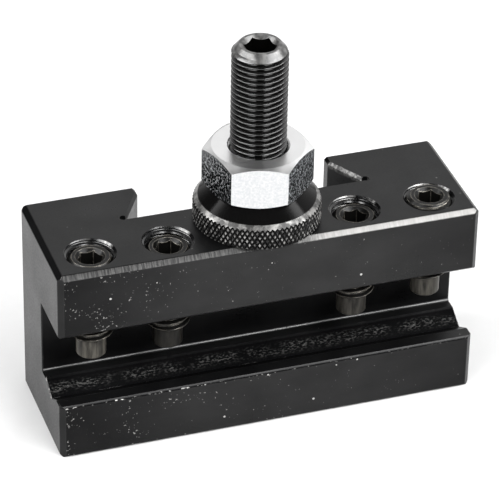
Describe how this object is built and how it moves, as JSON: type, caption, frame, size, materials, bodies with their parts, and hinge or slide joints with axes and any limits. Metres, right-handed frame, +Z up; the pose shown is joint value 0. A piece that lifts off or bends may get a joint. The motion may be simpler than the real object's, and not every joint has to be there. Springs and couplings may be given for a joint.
{
  "type": "quick change tool holder",
  "caption": "Dovetail-backed lathe tool holder with a clamping slot and V floor, dog-point clamp screws, and a height stud carrying a knurled height nut and a hex lock nut.",
  "frame": {"origin": "centre of the body's bottom face", "axes": "+X along the tool slot, +Y from the slot's open front towards the dovetail at the back, +Z up along the height stud and the clamp screws"},
  "size_m": [0.077, 0.0267, 0.0726],
  "materials": {
    "black_oxide_body": "satin black oxide on ground steel, worn bright along the front top chamfer",
    "black_oxide_thread": "glossy black oxide threads with a worn chamfer",
    "black_oxide_knurl": "black oxide diamond knurl with a polished top and a bright rim chamfer",
    "zinc_plate": "bright zinc plate, lightly mottled",
    "clamp_screw_steel": "black oxide screw with worn grey-brown point and rim"
  },
  "bodies": {
    "holder": {"holder_body": "black_oxide_body", "height_stud": "black_oxide_thread"},
    "height_nut": {"knurled_height_nut": "black_oxide_knurl"},
    "hex_lock_nut": {"lock_nut": "zinc_plate"},
    "screw_1": {"clamp_screw_1": "clamp_screw_steel"},
    "screw_2": {"clamp_screw_2": "clamp_screw_steel"},
    "screw_3": {"clamp_screw_3": "clamp_screw_steel"},
    "screw_4": {"clamp_screw_4": "clamp_screw_steel"}
  },
  "joints": [
    {"name": "height_nut_travel", "type": "slide", "parent": "holder", "child": "height_nut", "axis": [0, 0, 1], "range_m": [0, 0.012]},
    {"name": "lock_nut_travel", "type": "slide", "parent": "height_nut", "child": "hex_lock_nut", "axis": [0, 0, 1], "range_m": [0, 0.006]},
    {"name": "clamp_screw_1_travel", "type": "slide", "parent": "holder", "child": "screw_1", "axis": [0, 0, -1], "range_m": [-0.0079, 0.0069]},
    {"name": "clamp_screw_2_travel", "type": "slide", "parent": "holder", "child": "screw_2", "axis": [0, 0, -1], "range_m": [-0.0084, 0.0064]},
    {"name": "clamp_screw_3_travel", "type": "slide", "parent": "holder", "child": "screw_3", "axis": [0, 0, -1], "range_m": [-0.0083, 0.0065]},
    {"name": "clamp_screw_4_travel", "type": "slide", "parent": "holder", "child": "screw_4", "axis": [0, 0, -1], "range_m": [-0.0068, 0.008]}
  ]
}
